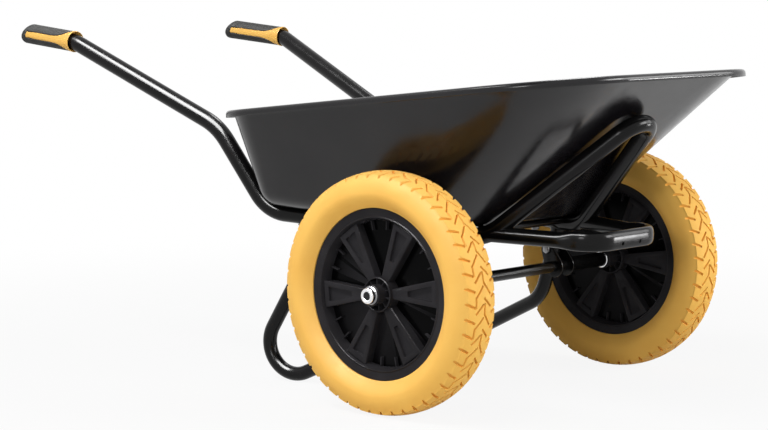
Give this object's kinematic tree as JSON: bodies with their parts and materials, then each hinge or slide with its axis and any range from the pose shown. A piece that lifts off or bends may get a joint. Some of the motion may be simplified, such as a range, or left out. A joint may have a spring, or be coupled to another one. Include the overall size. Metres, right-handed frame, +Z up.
{
  "type": "two wheel wheelbarrow",
  "caption": "Wheelbarrow with a deep pressed tray on a bent tube frame, solid tyres on spoked wheels that turn freely on a common axle, looped legs and soft grips.",
  "frame": {"origin": "on the ground, in the middle of the object's length and width", "axes": "+X towards the nose, along the length; +Y to the left of someone who pushes; +Z up"},
  "size_m": [1.3048, 0.7778, 0.6319],
  "materials": {
    "tray_black": "gloss black paint",
    "frame_black": "gloss black powder coat",
    "tyre_yellow": "solid foam, satin yellow",
    "wheel_black": "moulded black, satin",
    "bush_grey": "plain bearing plastic",
    "bright": "bright plated",
    "zinc": "dark zinc plate",
    "grip_yellow": "moulded yellow, satin",
    "grip_black": "soft black rubber"
  },
  "bodies": {
    "frame": {"tray": "tray_black", "right_frame_tube": "frame_black", "left_frame_tube": "frame_black", "tip_bar": "frame_black", "right_leg": "frame_black", "left_leg": "frame_black", "axle": "frame_black", "right_axle_plates": "frame_black", "left_axle_plates": "frame_black", "plate_bolts": "zinc", "plate_nuts": "zinc", "right_axle_spacer": "frame_black", "left_axle_spacer": "frame_black", "inner_washers": "bright", "outer_washers": "zinc", "axle_caps": "bright", "right_grip_core": "grip_yellow", "left_grip_core": "grip_yellow", "right_grip_cover": "grip_black", "left_grip_cover": "grip_black", "tray_bolts": "zinc", "tray_washers": "zinc", "tray_nuts": "zinc"},
    "right_wheel": {"right_tyre": "tyre_yellow", "right_wheel_centre": "wheel_black", "right_hub_bushes": "bush_grey"},
    "left_wheel": {"left_tyre": "tyre_yellow", "left_wheel_centre": "wheel_black", "left_hub_bushes": "bush_grey"}
  },
  "joints": [
    {"name": "right_wheel_spin", "type": "hinge", "parent": "frame", "child": "right_wheel", "pos_m": [0.30403, -0.3235, 0.2], "axis": [0, 1, 0], "continuous": true},
    {"name": "left_wheel_spin", "type": "hinge", "parent": "frame", "child": "left_wheel", "pos_m": [0.30403, 0.3235, 0.2], "axis": [0, 1, 0], "continuous": true}
  ]
}
